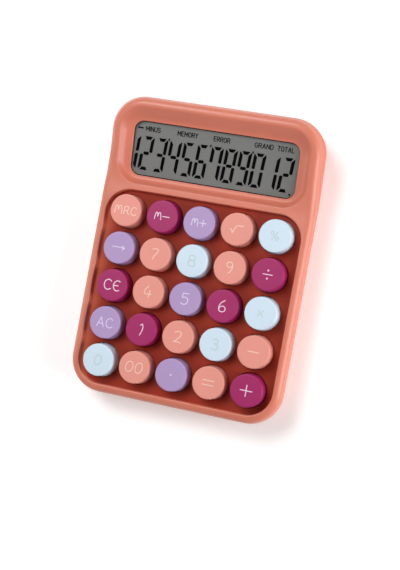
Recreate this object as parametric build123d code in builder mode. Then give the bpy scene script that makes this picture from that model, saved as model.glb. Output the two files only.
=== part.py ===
from build123d import *
import math
import os

# Desk calculator with twenty five round sprung keys and a raised, tilted display head.
# Millimetres. +Z is up, +Y points away from the user towards the display, +X to the right.
# The origin is the middle of the footprint, on the surface that the rubber feet stand on.

# ---------------------------------------------------------------- driving dimensions
CASE_WIDTH = 109.2
CASE_LENGTH = 148.2
CASE_CORNER = 17.0  # corner radius at the widest line of the case
SEAM_HEIGHT = 15.0  # widest line of the case, where the two shells meet
RIM_RISE = 6.0  # crest of the rim above the seam
RIM_ROUND = 3.3
RIM_DRAFT = 8.0  # the upper shell's sides lean in by this many degrees
SIDE_TAPER = 12.0  # the lower shell's sides lean in by this many degrees
WALL = 2.2
BASE_UNDERSIDE = 1.0  # the feet hold the base this far off the table
BASE_FLOOR = 3.0
BASE_ROUND = 2.0
HEAD_START = 34.7  # y where the head begins to rise
HEAD_TILT = 12.0

PITCH_X = 19.05
PITCH_Y = 18.7
KEY_ROWS = 5
KEY_COLUMNS = 5
KEYPAD_Y = -20.3
KEY_TOP = 25.0
KEY_TOP_RADIUS = 7.95
KEY_BASE_RADIUS = 8.25
KEY_TRAVEL = 2.5
KEY_HOLE_RADIUS = 8.6
KEY_FLANGE_RADIUS = 9.05
KEY_FLANGE_TOP = 16.2
KEY_FLANGE = 1.0
KEY_INSIDE_RADIUS = 7.0
KEY_CROWN = 1.6
STEM_RADIUS = 2.0
STEM_END = 13.8

WELL_FLOOR = 18.2
WELL_WIDTH = 100.2
WELL_LENGTH = 97.6
WELL_Y = -20.85
WELL_CORNER = 12.3
CAVITY_RISE = 1.4  # the covers' inner ceiling above the seam

WINDOW_WIDTH = 84.6
WINDOW_HEIGHT = 27.1
WINDOW_CORNER = 5.0
WINDOW_FRONT = 1.5  # along the head from where it starts to rise
WINDOW_RISE = 2.5  # window edge above the seam plane of the head
BOWL_SIDE = 49.6
BOWL_FRONT = -2.8
BOWL_REAR = 36.4
BOWL_CORNER = 11.0

LENS_THICKNESS = 1.0
LCD_WIDTH = 88.0
LCD_HEIGHT = 29.6
LCD_THICKNESS = 2.2
REFLECTOR_THICKNESS = 0.3
HOLDER_WALL = 1.0
EAR_X = 48.1
EAR_SPACING = 18.0

BOARD_WIDTH = 98.0
BOARD_FRONT = -67.7
BOARD_REAR = 42.9
BOARD_CORNER = 11.0
BOARD_BOTTOM = 7.5
BOARD_THICKNESS = 1.6
MAT_THICKNESS = 1.0
DOME_TOP = 13.7
PILL_THICKNESS = 0.4
PILL_RADIUS = 1.7

BATTERY_RADIUS = 5.25
BATTERY_LENGTH = 43.5
BATTERY_Y = 56.0
BATTERY_Z = 9.1
BATTERY_RIGHT = 23.0
COMPARTMENT_X = 27.6  # middle of the compartment's side walls
COMPARTMENT_WALL = 1.2
COMPARTMENT_FRONT = 44.2
COMPARTMENT_CEILING = 14.6
CONTACT_X = 24.6
CONTACT_THICKNESS = 0.4
CONTACT_ARM_Z = 12.4
CONTACT_ARM_FRONT = 40.4
SPRING_WIRE = 0.3
DOOR_HALF_WIDTH = 25.0
DOOR_FRONT = 47.5
DOOR_LIP = 9.0
DOOR_GAP = 0.3
DOOR_REACH = 40.0  # long enough to pass out through the rear wall
TONGUE_WIDTH = 14.0
TONGUE_THICKNESS = 0.6
SIDE_TONGUE_Y = 54.0
SIDE_TONGUE_LENGTH = 6.0
GROOVE_WIDTH = 16.0
GROOVE_PITCH = 1.8

CASE_SCREW_REAR = (36.0, 68.6)
FOOT_RADIUS = 4.5
FOOT_THICKNESS = 2.0
FOOT_X = 41.0
FOOT_Y = 60.5

os.makedirs("parts", exist_ok=True)


def save(part, label):
    """Write one finished piece to its own file."""
    part.label = label
    export_step(part, f"parts/{label}.step")


# ---------------------------------------------------------------- planes of the case
tilt = math.radians(HEAD_TILT)
KEYPAD_PLANE = Plane.XY.offset(SEAM_HEIGHT)
HEAD_PLANE = Plane(
    origin=(0, HEAD_START, SEAM_HEIGHT),
    x_dir=(1, 0, 0),
    z_dir=(0, -math.sin(tilt), math.cos(tilt)),
)
# The mitre is where keypad and head meet; both cross it with the same section.
MITRE = Plane(
    origin=(0, HEAD_START, SEAM_HEIGHT),
    x_dir=(1, 0, 0),
    z_dir=(0, math.cos(tilt / 2), math.sin(tilt / 2)),
)
HEAD_REAR = (CASE_LENGTH / 2 - HEAD_START) / math.cos(tilt)
HEAD_OVERRUN = 60.0


def case_outline(plane, front, rear, inset):
    """Plan of the case on one plane, moved in by inset."""
    with BuildSketch(plane) as outline:
        with Locations((0, (front + rear) / 2)):
            RectangleRounded(
                CASE_WIDTH - 2 * inset, rear - front - 2 * inset, CASE_CORNER - inset
            )
    return outline.sketch


def upper_block(plane, front, rear, inset, rise, rim_round):
    """Block above the seam that leans in slightly, with a rounded rim if rim_round is given."""
    with BuildPart() as block:
        extrude(case_outline(plane, front, rear, inset), amount=rise, taper=RIM_DRAFT)
        if rim_round:
            top = block.faces().sort_by(Axis(plane.origin, plane.z_dir))[-1]
            fillet(top.edges(), rim_round)
    return block.part


def lower_block(plane, front, rear, inset):
    """Block below the seam that leans in towards the base."""
    with BuildPart() as block:
        extrude(case_outline(plane, front, rear, inset), amount=-32, taper=SIDE_TAPER)
    return block.part


def mitred(keypad_block, head_block):
    """Join the keypad and head blocks along the mitre."""
    with BuildPart() as form:
        add(keypad_block)
        split(bisect_by=MITRE, keep=Keep.BOTTOM)
    with BuildPart() as rising:
        add(head_block)
        split(bisect_by=MITRE, keep=Keep.TOP)
    with BuildPart() as whole:
        add(form.part)
        add(rising.part)
    return whole.part


def upper_form(inset, rise, rim_round=0):
    half = CASE_LENGTH / 2
    return mitred(
        upper_block(KEYPAD_PLANE, -half, half, inset, rise, rim_round),
        upper_block(HEAD_PLANE, -HEAD_OVERRUN, HEAD_REAR, inset, rise, rim_round),
    )


def lower_form(inset, base):
    half = CASE_LENGTH / 2
    with BuildPart() as form:
        add(
            mitred(
                lower_block(KEYPAD_PLANE, -half, half, inset),
                lower_block(HEAD_PLANE, -HEAD_OVERRUN, HEAD_REAR, inset),
            )
        )
        split(bisect_by=Plane.XY.offset(base), keep=Keep.TOP)
    return form.part


# ---------------------------------------------------------------- shared positions
board_screw_points = [
    (x, KEYPAD_Y + y) for x in (-PITCH_X / 2, PITCH_X / 2) for y in (-PITCH_Y / 2, PITCH_Y / 2)
]
board_screw_points += [
    (x, KEYPAD_Y + y) for x in (-1.5 * PITCH_X, 1.5 * PITCH_X) for y in (-PITCH_Y / 2, PITCH_Y / 2)
]
case_screw_front = [
    (x, KEYPAD_Y + y) for x in (-1.5 * PITCH_X, 1.5 * PITCH_X) for y in (-1.5 * PITCH_Y, 1.5 * PITCH_Y)
]
case_screw_rear = [(-CASE_SCREW_REAR[0], CASE_SCREW_REAR[1]), CASE_SCREW_REAR]
case_screw_points = case_screw_front + case_screw_rear
ear_points = [
    (x, WINDOW_FRONT + WINDOW_HEIGHT / 2 + y)
    for x in (-EAR_X, EAR_X)
    for y in (-EAR_SPACING / 2, EAR_SPACING / 2)
]
WINDOW_MIDDLE = WINDOW_FRONT + WINDOW_HEIGHT / 2
LENS_TOP = CAVITY_RISE + 0.5
LCD_TOP = LENS_TOP - LENS_THICKNESS - 0.1
LCD_BOTTOM = LCD_TOP - LCD_THICKNESS
REFLECTOR_BOTTOM = LCD_BOTTOM - REFLECTOR_THICKNESS
HOLDER_BOTTOM = REFLECTOR_BOTTOM - 0.8
BOARD_TOP = BOARD_BOTTOM + BOARD_THICKNESS
BOARD_BOSS_RADIUS = 2.2
CASE_BOSS_RADIUS = 2.4
CASE_BOSS_END = 7.2
CASE_POST_RADIUS = 3.2
SCREW_LEDGE = 5.5
SCREW_WELL_RADIUS = 2.6
BOARD_SCREW_RADIUS = 0.9
CASE_SCREW_RADIUS = 1.15

# ---------------------------------------------------------------- top cover
# Moulded shell with the keypad well, the key holes, the bowl round the window and the bosses.
with BuildSketch(HEAD_PLANE.offset(WINDOW_RISE)) as window_edge:
    with Locations((0, WINDOW_MIDDLE)):
        RectangleRounded(WINDOW_WIDTH, WINDOW_HEIGHT, WINDOW_CORNER)
with BuildSketch(HEAD_PLANE.offset(RIM_RISE)) as bowl_edge:
    with Locations((0, (BOWL_FRONT + BOWL_REAR) / 2)):
        RectangleRounded(2 * BOWL_SIDE, BOWL_REAR - BOWL_FRONT, BOWL_CORNER)
with BuildPart() as bowl:
    loft([window_edge.sketch, bowl_edge.sketch])
    extrude(bowl_edge.sketch, amount=2)

with BuildPart() as top_cover:
    add(upper_form(0, RIM_RISE, RIM_ROUND))
    add(upper_form(WALL, CAVITY_RISE), mode=Mode.SUBTRACT)
    # keypad well
    with BuildSketch(Plane.XY.offset(WELL_FLOOR)):
        with Locations((0, WELL_Y)):
            RectangleRounded(WELL_WIDTH, WELL_LENGTH, WELL_CORNER)
    extrude(amount=12, mode=Mode.SUBTRACT)
    # bowl and window
    add(bowl.part, mode=Mode.SUBTRACT)
    with BuildSketch(HEAD_PLANE) as window_cut:
        with Locations((0, WINDOW_MIDDLE)):
            RectangleRounded(WINDOW_WIDTH, WINDOW_HEIGHT, WINDOW_CORNER)
    extrude(amount=RIM_RISE, mode=Mode.SUBTRACT)
    with BuildSketch(HEAD_PLANE) as lens_pocket:
        with Locations((0, WINDOW_MIDDLE)):
            RectangleRounded(LCD_WIDTH + 0.4, LCD_HEIGHT + 0.4, 2)
    extrude(amount=LENS_TOP, mode=Mode.SUBTRACT)
    # bosses
    with BuildSketch(Plane.XY.offset(BOARD_TOP)):
        with Locations(*board_screw_points):
            Circle(BOARD_BOSS_RADIUS)
    extrude(amount=WELL_FLOOR - BOARD_TOP - 0.8)
    with BuildSketch(Plane.XY.offset(CASE_BOSS_END)):
        with Locations(*case_screw_front):
            Circle(CASE_BOSS_RADIUS)
    extrude(amount=WELL_FLOOR - CASE_BOSS_END - 0.8)
    with BuildSketch(Plane.XY.offset(CASE_BOSS_END)):
        with Locations(*case_screw_rear):
            Circle(CASE_BOSS_RADIUS)
    extrude(amount=25 - CASE_BOSS_END)
    # pilot holes for the screws
    with BuildSketch(Plane.XY.offset(BOARD_TOP)):
        with Locations(*board_screw_points):
            Circle(BOARD_SCREW_RADIUS + 0.05)
    extrude(amount=6, mode=Mode.SUBTRACT)
    with BuildSketch(Plane.XY.offset(CASE_BOSS_END)):
        with Locations(*case_screw_points):
            Circle(CASE_SCREW_RADIUS + 0.05)
    extrude(amount=7, mode=Mode.SUBTRACT)
    with BuildSketch(HEAD_PLANE):
        with Locations(*ear_points):
            Circle(BOARD_SCREW_RADIUS + 0.05)
    extrude(amount=CAVITY_RISE + 2.2, mode=Mode.SUBTRACT)
    # key holes
    with BuildSketch(Plane.XY.offset(WELL_FLOOR - 3)):
        with Locations((0, KEYPAD_Y)):
            with GridLocations(PITCH_X, PITCH_Y, KEY_COLUMNS, KEY_ROWS):
                Circle(KEY_HOLE_RADIUS)
    extrude(amount=4, mode=Mode.SUBTRACT)
save(top_cover.part, "top_cover")

# ---------------------------------------------------------------- bottom cover and battery door
# The base is one shell; the door is a piece of the same shell, cut free with a small gap.
with BuildPart() as base_shell:
    add(lower_form(0, BASE_UNDERSIDE))
    fillet(base_shell.faces().sort_by(Axis.Z)[0].edges(), BASE_ROUND)
    add(lower_form(WALL, BASE_FLOOR), mode=Mode.SUBTRACT)

# walls and ceiling of the battery compartment, trimmed to the inside of the shell
low_corner = (Align.CENTER, Align.CENTER, Align.MIN)
compartment_width = 2 * COMPARTMENT_X + COMPARTMENT_WALL
with BuildPart() as compartment:
    for side in (-1, 1):
        with Locations((side * COMPARTMENT_X, 61.6, BASE_FLOOR - 0.5)):
            Box(COMPARTMENT_WALL, 23, COMPARTMENT_CEILING - BASE_FLOOR + 1.3, align=low_corner)
        # lower towards the front, where the contacts' arms pass over
        with Locations((side * COMPARTMENT_X, 47, BASE_FLOOR - 0.5)):
            Box(COMPARTMENT_WALL, 6.8, 10.5, align=low_corner)
    with Locations((0, COMPARTMENT_FRONT, BASE_FLOOR - 0.5)):
        Box(compartment_width, COMPARTMENT_WALL, 8.6, align=low_corner)
    with Locations((0, 56.8, COMPARTMENT_CEILING)):
        Box(compartment_width, 13.4, 0.8, align=low_corner)
    add(lower_form(WALL / 2, BASE_UNDERSIDE + 0.6), mode=Mode.INTERSECT)

with BuildPart() as bottom_cover:
    add(base_shell.part)
    add(compartment.part)
    # screw posts
    with BuildSketch(Plane.XY.offset(BASE_FLOOR - 0.5)):
        with Locations(*case_screw_points):
            Circle(CASE_POST_RADIUS)
    extrude(amount=CASE_BOSS_END - BASE_FLOOR + 0.5)
    with BuildSketch(Plane.XY):
        with Locations(*case_screw_points):
            Circle(SCREW_WELL_RADIUS)
    extrude(amount=SCREW_LEDGE, mode=Mode.SUBTRACT)
    with BuildSketch(Plane.XY):
        with Locations(*case_screw_points):
            Circle(CASE_SCREW_RADIUS + 0.2)
    extrude(amount=CASE_BOSS_END + 1, mode=Mode.SUBTRACT)
    # recesses for the feet
    with BuildSketch(Plane.XY):
        with GridLocations(2 * FOOT_X, 2 * FOOT_Y, 2, 2):
            Circle(FOOT_RADIUS + 0.15)
    extrude(amount=FOOT_THICKNESS, mode=Mode.SUBTRACT)
    # door opening, out through the rear wall
    with Locations((0, DOOR_FRONT - DOOR_GAP, 0)):
        Box(
            2 * (DOOR_HALF_WIDTH + DOOR_GAP),
            DOOR_REACH,
            DOOR_LIP + DOOR_GAP,
            align=(Align.CENTER, Align.MIN, Align.MIN),
            mode=Mode.SUBTRACT,
        )
save(bottom_cover.part, "bottom_cover")

with BuildPart() as battery_door:
    with Locations((0, DOOR_FRONT, 0)):
        Box(2 * DOOR_HALF_WIDTH, DOOR_REACH, DOOR_LIP, align=(Align.CENTER, Align.MIN, Align.MIN))
    add(base_shell.part, mode=Mode.INTERSECT)
    # front tongue and side tongues lie on the inside of the base and hold the door up
    with Locations((0, DOOR_FRONT + 1, BASE_FLOOR + 0.1)):
        Box(TONGUE_WIDTH, 5.5, TONGUE_THICKNESS, align=low_corner)
    for side in (-1, 1):
        with Locations((side * (DOOR_HALF_WIDTH - 0.3), SIDE_TONGUE_Y, BASE_FLOOR + 0.1)):
            Box(3.0, SIDE_TONGUE_LENGTH, TONGUE_THICKNESS, align=low_corner)
    # short necks join the tongues to the door's plate
    with Locations((0, DOOR_FRONT + 1.75, BASE_FLOOR - 0.5)):
        Box(TONGUE_WIDTH, 3.5, 0.8, align=low_corner)
    for side in (-1, 1):
        with Locations((side * (DOOR_HALF_WIDTH - 1.0), SIDE_TONGUE_Y, BASE_FLOOR - 0.5)):
            Box(1.6, SIDE_TONGUE_LENGTH, 0.8, align=low_corner)
    # finger grooves across the door
    with Locations(*[(0, DOOR_FRONT + 4 + GROOVE_PITCH * n, BASE_UNDERSIDE) for n in range(4)]):
        Box(GROOVE_WIDTH, 0.8, 0.8, mode=Mode.SUBTRACT)
save(battery_door.part, "battery_door")

# ---------------------------------------------------------------- rubber feet
with BuildPart() as rubber_feet:
    with BuildSketch(Plane.XY):
        with GridLocations(2 * FOOT_X, 2 * FOOT_Y, 2, 2):
            Circle(FOOT_RADIUS)
    extrude(amount=FOOT_THICKNESS)
    fillet(rubber_feet.faces().group_by(Axis.Z)[0].edges(), 0.4)
save(rubber_feet.part, "rubber_feet")

# ---------------------------------------------------------------- keys
KEY_NAMES = (
    ("key_0", "key_00", "key_point", "key_equals", "key_plus"),
    ("key_ac", "key_1", "key_2", "key_3", "key_minus"),
    ("key_ce", "key_4", "key_5", "key_6", "key_multiply"),
    ("key_backspace", "key_7", "key_8", "key_9", "key_divide"),
    ("key_memory_recall", "key_memory_minus", "key_memory_plus", "key_root", "key_percent"),
)
with BuildPart() as keycap:
    with BuildSketch(Plane.XZ):
        with BuildLine():
            Polyline(
                (0, KEY_TOP),
                (KEY_TOP_RADIUS, KEY_TOP),
                (KEY_BASE_RADIUS, WELL_FLOOR),
                (KEY_BASE_RADIUS, KEY_FLANGE_TOP),
                (KEY_FLANGE_RADIUS, KEY_FLANGE_TOP),
                (KEY_FLANGE_RADIUS, KEY_FLANGE_TOP - KEY_FLANGE),
                (KEY_INSIDE_RADIUS, KEY_FLANGE_TOP - KEY_FLANGE),
                (KEY_INSIDE_RADIUS - 0.2, KEY_TOP - KEY_CROWN),
                (STEM_RADIUS + 0.1, KEY_TOP - KEY_CROWN),
                (STEM_RADIUS, STEM_END),
                (0, STEM_END),
                close=True,
            )
        make_face()
    revolve(axis=Axis.Z)
    fillet(keycap.edges().filter_by(GeomType.CIRCLE).group_by(Axis.Z)[-1], 0.45)
    # cross ribs between the skirt and the stem
    for turn in (0, 90):
        with Locations(Location((0, 0, KEY_TOP - KEY_CROWN), (0, 0, turn))):
            Box(2 * KEY_INSIDE_RADIUS, 0.9, 5.5, align=(Align.CENTER, Align.CENTER, Align.MAX))

for row in range(KEY_ROWS):
    for column in range(KEY_COLUMNS):
        x = (column - (KEY_COLUMNS - 1) / 2) * PITCH_X
        y = KEYPAD_Y + (row - (KEY_ROWS - 1) / 2) * PITCH_Y
        with BuildPart() as key:
            with Locations((x, y, 0)):
                add(keycap.part)
        save(key.part, KEY_NAMES[row][column])

# ---------------------------------------------------------------- silicone dome mat and carbon pills
with BuildPart() as dome:
    with BuildSketch(Plane.XZ):
        with BuildLine():
            Polyline(
                (0, DOME_TOP),
                (2.4, DOME_TOP),
                (2.6, 12.8),
                (5.5, BOARD_TOP + MAT_THICKNESS),
                (5.8, BOARD_TOP),
                (5.0, BOARD_TOP),
                (4.9, BOARD_TOP + 0.8),
                (2.1, 12.3),
                (PILL_RADIUS + 0.1, BOARD_TOP + KEY_TRAVEL + PILL_THICKNESS),
                (0, BOARD_TOP + KEY_TRAVEL + PILL_THICKNESS),
                close=True,
            )
        make_face()
    revolve(axis=Axis.Z)

with BuildPart() as dome_mat:
    with BuildSketch(Plane.XY.offset(BOARD_TOP)):
        with Locations((0, KEYPAD_Y)):
            RectangleRounded(96, 93, 9)
            with GridLocations(PITCH_X, PITCH_Y, KEY_COLUMNS, KEY_ROWS):
                Circle(5.3, mode=Mode.SUBTRACT)
        with Locations(*board_screw_points):
            Circle(BOARD_BOSS_RADIUS + 0.4, mode=Mode.SUBTRACT)
        with Locations(*case_screw_front):
            Circle(CASE_BOSS_RADIUS + 0.4, mode=Mode.SUBTRACT)
    extrude(amount=MAT_THICKNESS)
    with Locations((0, KEYPAD_Y, 0)):
        with GridLocations(PITCH_X, PITCH_Y, KEY_COLUMNS, KEY_ROWS):
            add(dome.part)
save(dome_mat.part, "dome_mat")

with BuildPart() as contact_pills:
    with BuildSketch(Plane.XY.offset(BOARD_TOP + KEY_TRAVEL)):
        with Locations((0, KEYPAD_Y)):
            with GridLocations(PITCH_X, PITCH_Y, KEY_COLUMNS, KEY_ROWS):
                Circle(PILL_RADIUS)
    extrude(amount=PILL_THICKNESS)
save(contact_pills.part, "contact_pills")

# ---------------------------------------------------------------- main board
with BuildPart() as main_board:
    with BuildSketch(Plane.XY.offset(BOARD_BOTTOM)):
        with Locations((0, (BOARD_FRONT + BOARD_REAR) / 2)):
            RectangleRounded(BOARD_WIDTH, BOARD_REAR - BOARD_FRONT, BOARD_CORNER)
        with Locations(*board_screw_points):
            Circle(BOARD_SCREW_RADIUS + 0.2, mode=Mode.SUBTRACT)
        with Locations(*case_screw_front):
            Circle(CASE_POST_RADIUS + 0.3, mode=Mode.SUBTRACT)
    extrude(amount=BOARD_THICKNESS)
save(main_board.part, "main_board")

with BuildPart() as controller_chip:
    with BuildSketch(Plane.XY.offset(BOARD_BOTTOM)):
        with Locations((0, 34)):
            Circle(6)
    extrude(amount=-1.6)
    fillet(controller_chip.faces().sort_by(Axis.Z)[0].edges(), 1.2)
save(controller_chip.part, "controller_chip")

with BuildPart() as board_components:
    with BuildSketch(Plane.XY.offset(BOARD_BOTTOM)):
        with Locations((-20, 36), (-20, 31), (20, 36), (24, 36), (28, 36), (20, 31)):
            Rectangle(2.0, 1.2)
    extrude(amount=-0.8)
    with BuildSketch(Plane.XY.offset(BOARD_BOTTOM)):
        with Locations((-32, 34), (36, 33)):
            Circle(2.5)
    extrude(amount=-3.6)
save(board_components.part, "board_components")


def screw(head_radius, head_height, shank_radius, shank_length):
    """Cross-recessed screw with its head below z = 0 and its shank above."""
    with BuildPart() as body:
        Cylinder(head_radius, head_height, align=(Align.CENTER, Align.CENTER, Align.MAX))
        fillet(body.faces().sort_by(Axis.Z)[0].edges(), 0.35)
        Cylinder(
            shank_radius, shank_length, align=(Align.CENTER, Align.CENTER, Align.MIN)
        )
        chamfer(body.faces().sort_by(Axis.Z)[-1].edges(), 0.3)
        for turn in (0, 90):
            with Locations(Location((0, 0, -head_height), (0, 0, turn))):
                Box(head_radius * 1.1, 0.5, 1.2, mode=Mode.SUBTRACT)
    return body.part


with BuildPart() as board_screws:
    with Locations(*[(x, y, BOARD_BOTTOM) for x, y in board_screw_points]):
        add(screw(1.9, 1.2, BOARD_SCREW_RADIUS, 6))
save(board_screws.part, "board_screws")

with BuildPart() as case_screws:
    with Locations(*[(x, y, SCREW_LEDGE) for x, y in case_screw_points]):
        add(screw(2.3, 1.5, CASE_SCREW_RADIUS, 8))
save(case_screws.part, "case_screws")

# ---------------------------------------------------------------- display stack, on the tilted head plane


def head_slab(bottom, thickness, width, height, corner):
    """Rounded slab parallel to the display, centred behind the window."""
    with BuildPart() as slab:
        with BuildSketch(HEAD_PLANE.offset(bottom)):
            with Locations((0, WINDOW_MIDDLE)):
                RectangleRounded(width, height, corner)
        extrude(amount=thickness)
    return slab.part


save(
    head_slab(LENS_TOP - LENS_THICKNESS, LENS_THICKNESS, LCD_WIDTH, LCD_HEIGHT, 1.8),
    "display_lens",
)
save(head_slab(LCD_BOTTOM, LCD_THICKNESS, LCD_WIDTH, LCD_HEIGHT, 0.5), "lcd_panel")
save(
    head_slab(REFLECTOR_BOTTOM, REFLECTOR_THICKNESS, LCD_WIDTH - 1, LCD_HEIGHT - 6.5, 0.5),
    "lcd_reflector",
)

with BuildPart() as lcd_holder:
    with BuildSketch(HEAD_PLANE.offset(HOLDER_BOTTOM)):
        with Locations((0, WINDOW_MIDDLE)):
            RectangleRounded(
                LCD_WIDTH + 0.6 + 2 * HOLDER_WALL, LCD_HEIGHT + 0.6 + 2 * HOLDER_WALL, 2
            )
    extrude(amount=CAVITY_RISE - HOLDER_BOTTOM)
    with BuildSketch(HEAD_PLANE.offset(REFLECTOR_BOTTOM)):
        with Locations((0, WINDOW_MIDDLE)):
            RectangleRounded(LCD_WIDTH + 0.6, LCD_HEIGHT + 0.6, 1)
    extrude(amount=6, mode=Mode.SUBTRACT)
    with BuildSketch(HEAD_PLANE.offset(HOLDER_BOTTOM)):
        with Locations((0, WINDOW_MIDDLE)):
            RectangleRounded(LCD_WIDTH - 10, LCD_HEIGHT - 8, 2)
    extrude(amount=2, mode=Mode.SUBTRACT)
    # screw ears
    with BuildSketch(HEAD_PLANE.offset(CAVITY_RISE - 1.6)):
        for x, y in ear_points:
            with Locations((x, y)):
                Circle(2.3)
            with Locations((x - math.copysign(1.6, x), y)):
                Rectangle(3.2, 4.6)
    extrude(amount=1.6)
    with BuildSketch(HEAD_PLANE.offset(REFLECTOR_BOTTOM + 0.2)):
        with Locations((0, WINDOW_MIDDLE)):
            RectangleRounded(LCD_WIDTH + 0.6, LCD_HEIGHT + 0.6, 1)
    extrude(amount=6, mode=Mode.SUBTRACT)
    with BuildSketch(HEAD_PLANE.offset(CAVITY_RISE - 2)):
        with Locations(*ear_points):
            Circle(BOARD_SCREW_RADIUS + 0.15)
    extrude(amount=2, mode=Mode.SUBTRACT)
    # slot in the front wall that lets the ribbon out
    with BuildSketch(HEAD_PLANE.offset(HOLDER_BOTTOM)):
        with Locations((0, WINDOW_MIDDLE - LCD_HEIGHT / 2 - 0.9)):
            Rectangle(66, 3)
    extrude(amount=LCD_BOTTOM - HOLDER_BOTTOM + 0.6, mode=Mode.SUBTRACT)
save(lcd_holder.part, "lcd_holder")

ear_plane = HEAD_PLANE.offset(CAVITY_RISE - 1.6)
with BuildPart() as lcd_screws:
    with Locations(*[ear_plane.location * Location((x, y, 0)) for x, y in ear_points]):
        add(screw(1.9, 1.1, BOARD_SCREW_RADIUS, 3.6))
save(lcd_screws.part, "lcd_screws")

# Flexible ribbon from the underside of the display's front edge down to the board.
lcd_front = WINDOW_MIDDLE - LCD_HEIGHT / 2
ribbon_high = HEAD_PLANE.from_local_coords(Vector(0, lcd_front + 2, LCD_BOTTOM - 0.1))
ribbon_turn = HEAD_PLANE.from_local_coords(Vector(0, lcd_front - 1, LCD_BOTTOM - 0.1))
with BuildPart() as lcd_ribbon:
    with BuildSketch(Plane.YZ) as ribbon_section:
        with BuildLine():
            FilletPolyline(
                (ribbon_high.Y, ribbon_high.Z),
                (ribbon_turn.Y, ribbon_turn.Z),
                (31.5, BOARD_TOP + 0.1),
                (28.5, BOARD_TOP + 0.1),
                radius=0.9,
            )
        trace(line_width=0.16)
    extrude(amount=31, both=True)
save(lcd_ribbon.part, "lcd_ribbon")

# ---------------------------------------------------------------- battery and its contacts
BATTERY_LEFT = BATTERY_RIGHT - BATTERY_LENGTH
with BuildPart() as battery:
    with BuildSketch(Plane.YZ.offset(BATTERY_LEFT)):
        with Locations((BATTERY_Y, BATTERY_Z)):
            Circle(BATTERY_RADIUS)
    extrude(amount=BATTERY_LENGTH)
    fillet(battery.edges().filter_by(GeomType.CIRCLE), 0.6)
    with BuildSketch(Plane.YZ.offset(BATTERY_RIGHT)):
        with Locations((BATTERY_Y, BATTERY_Z)):
            Circle(1.9)
    extrude(amount=1.0)
save(battery.part, "battery")

with BuildPart() as battery_contact_positive:
    with Locations((CONTACT_X, BATTERY_Y, BATTERY_Z)):
        Box(CONTACT_THICKNESS, 9, 8.4)
    # arm over the compartment's low front wall, with a foot that stands on the board
    with Locations((CONTACT_X, CONTACT_ARM_FRONT, CONTACT_ARM_Z)):
        Box(CONTACT_THICKNESS, 12.6, 1.0, align=(Align.CENTER, Align.MIN, Align.CENTER))
    with Locations((CONTACT_X, CONTACT_ARM_FRONT + 1.6, BOARD_TOP)):
        Box(CONTACT_THICKNESS, 1.6, CONTACT_ARM_Z + 0.5 - BOARD_TOP, align=low_corner)
save(battery_contact_positive.part, "battery_contact_positive")

with BuildPart() as battery_contact_negative:
    mirror(battery_contact_positive.part, about=Plane.YZ)
save(battery_contact_negative.part, "battery_contact_negative")

with BuildPart() as battery_spring:
    with BuildLine() as coil:
        Helix(
            pitch=1.0,
            height=3.2,
            radius=3.0,
            cone_angle=-8,
            center=(CONTACT_THICKNESS / 2 - CONTACT_X + SPRING_WIRE + 0.05, BATTERY_Y, BATTERY_Z),
            direction=(1, 0, 0),
        )
    with BuildSketch(Plane(coil.line @ 0, z_dir=coil.line % 0)):
        Circle(SPRING_WIRE)
    sweep(is_frenet=True)
save(battery_spring.part, "battery_spring")
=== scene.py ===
import math

import bmesh
import bpy
import numpy as np
from mathutils import Matrix, Vector
from mathutils.geometry import delaunay_2d_cdt


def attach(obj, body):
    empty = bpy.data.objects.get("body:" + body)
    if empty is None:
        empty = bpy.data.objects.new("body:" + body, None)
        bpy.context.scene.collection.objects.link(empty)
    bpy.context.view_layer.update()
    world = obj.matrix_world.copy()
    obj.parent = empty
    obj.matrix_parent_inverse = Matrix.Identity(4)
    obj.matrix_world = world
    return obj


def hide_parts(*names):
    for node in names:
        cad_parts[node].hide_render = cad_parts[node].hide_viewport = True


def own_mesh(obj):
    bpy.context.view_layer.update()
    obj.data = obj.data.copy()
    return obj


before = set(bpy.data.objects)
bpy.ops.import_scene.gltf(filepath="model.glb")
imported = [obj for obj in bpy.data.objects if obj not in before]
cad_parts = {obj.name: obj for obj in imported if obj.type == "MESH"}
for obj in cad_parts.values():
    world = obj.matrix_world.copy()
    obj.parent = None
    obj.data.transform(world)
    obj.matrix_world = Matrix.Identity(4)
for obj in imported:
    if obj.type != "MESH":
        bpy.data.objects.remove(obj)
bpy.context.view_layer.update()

# ------------------------------------------------------------------ top cover
# One moulding in satin coral ABS: the rim, the keypad well with its twenty five holes, and the bowl
# that falls to the display window. Screw bosses grow from its ceiling. The colour drifts slightly
# with the melt, and sharp edges are polished smoother.
MM = 0.001
MELT_SCALE = 45.0  # patches of drifting tone, about two centimetres across
GLOSS_BELOW = 0.05  # how far the roughness wanders under its mean
GLOSS_ABOVE = 0.06  # and over it
WEAR_STARTS = 0.5  # pointiness of an edge where polishing begins
WEAR_FULL = 0.62  # and where it is complete
WORN_ROUGHNESS = 0.8  # share of the roughness left on a polished edge
GRAIN_STRENGTH = 0.35


def as_linear(red, green, blue):
    """Colour as a paint chart gives it, 0 to 255, turned into scene-linear values."""
    chart = (red, green, blue)
    return tuple(((c / 255 + 0.055) / 1.055) ** 2.4 if c > 10 else c / 3295 for c in chart) + (1.0,)


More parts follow.
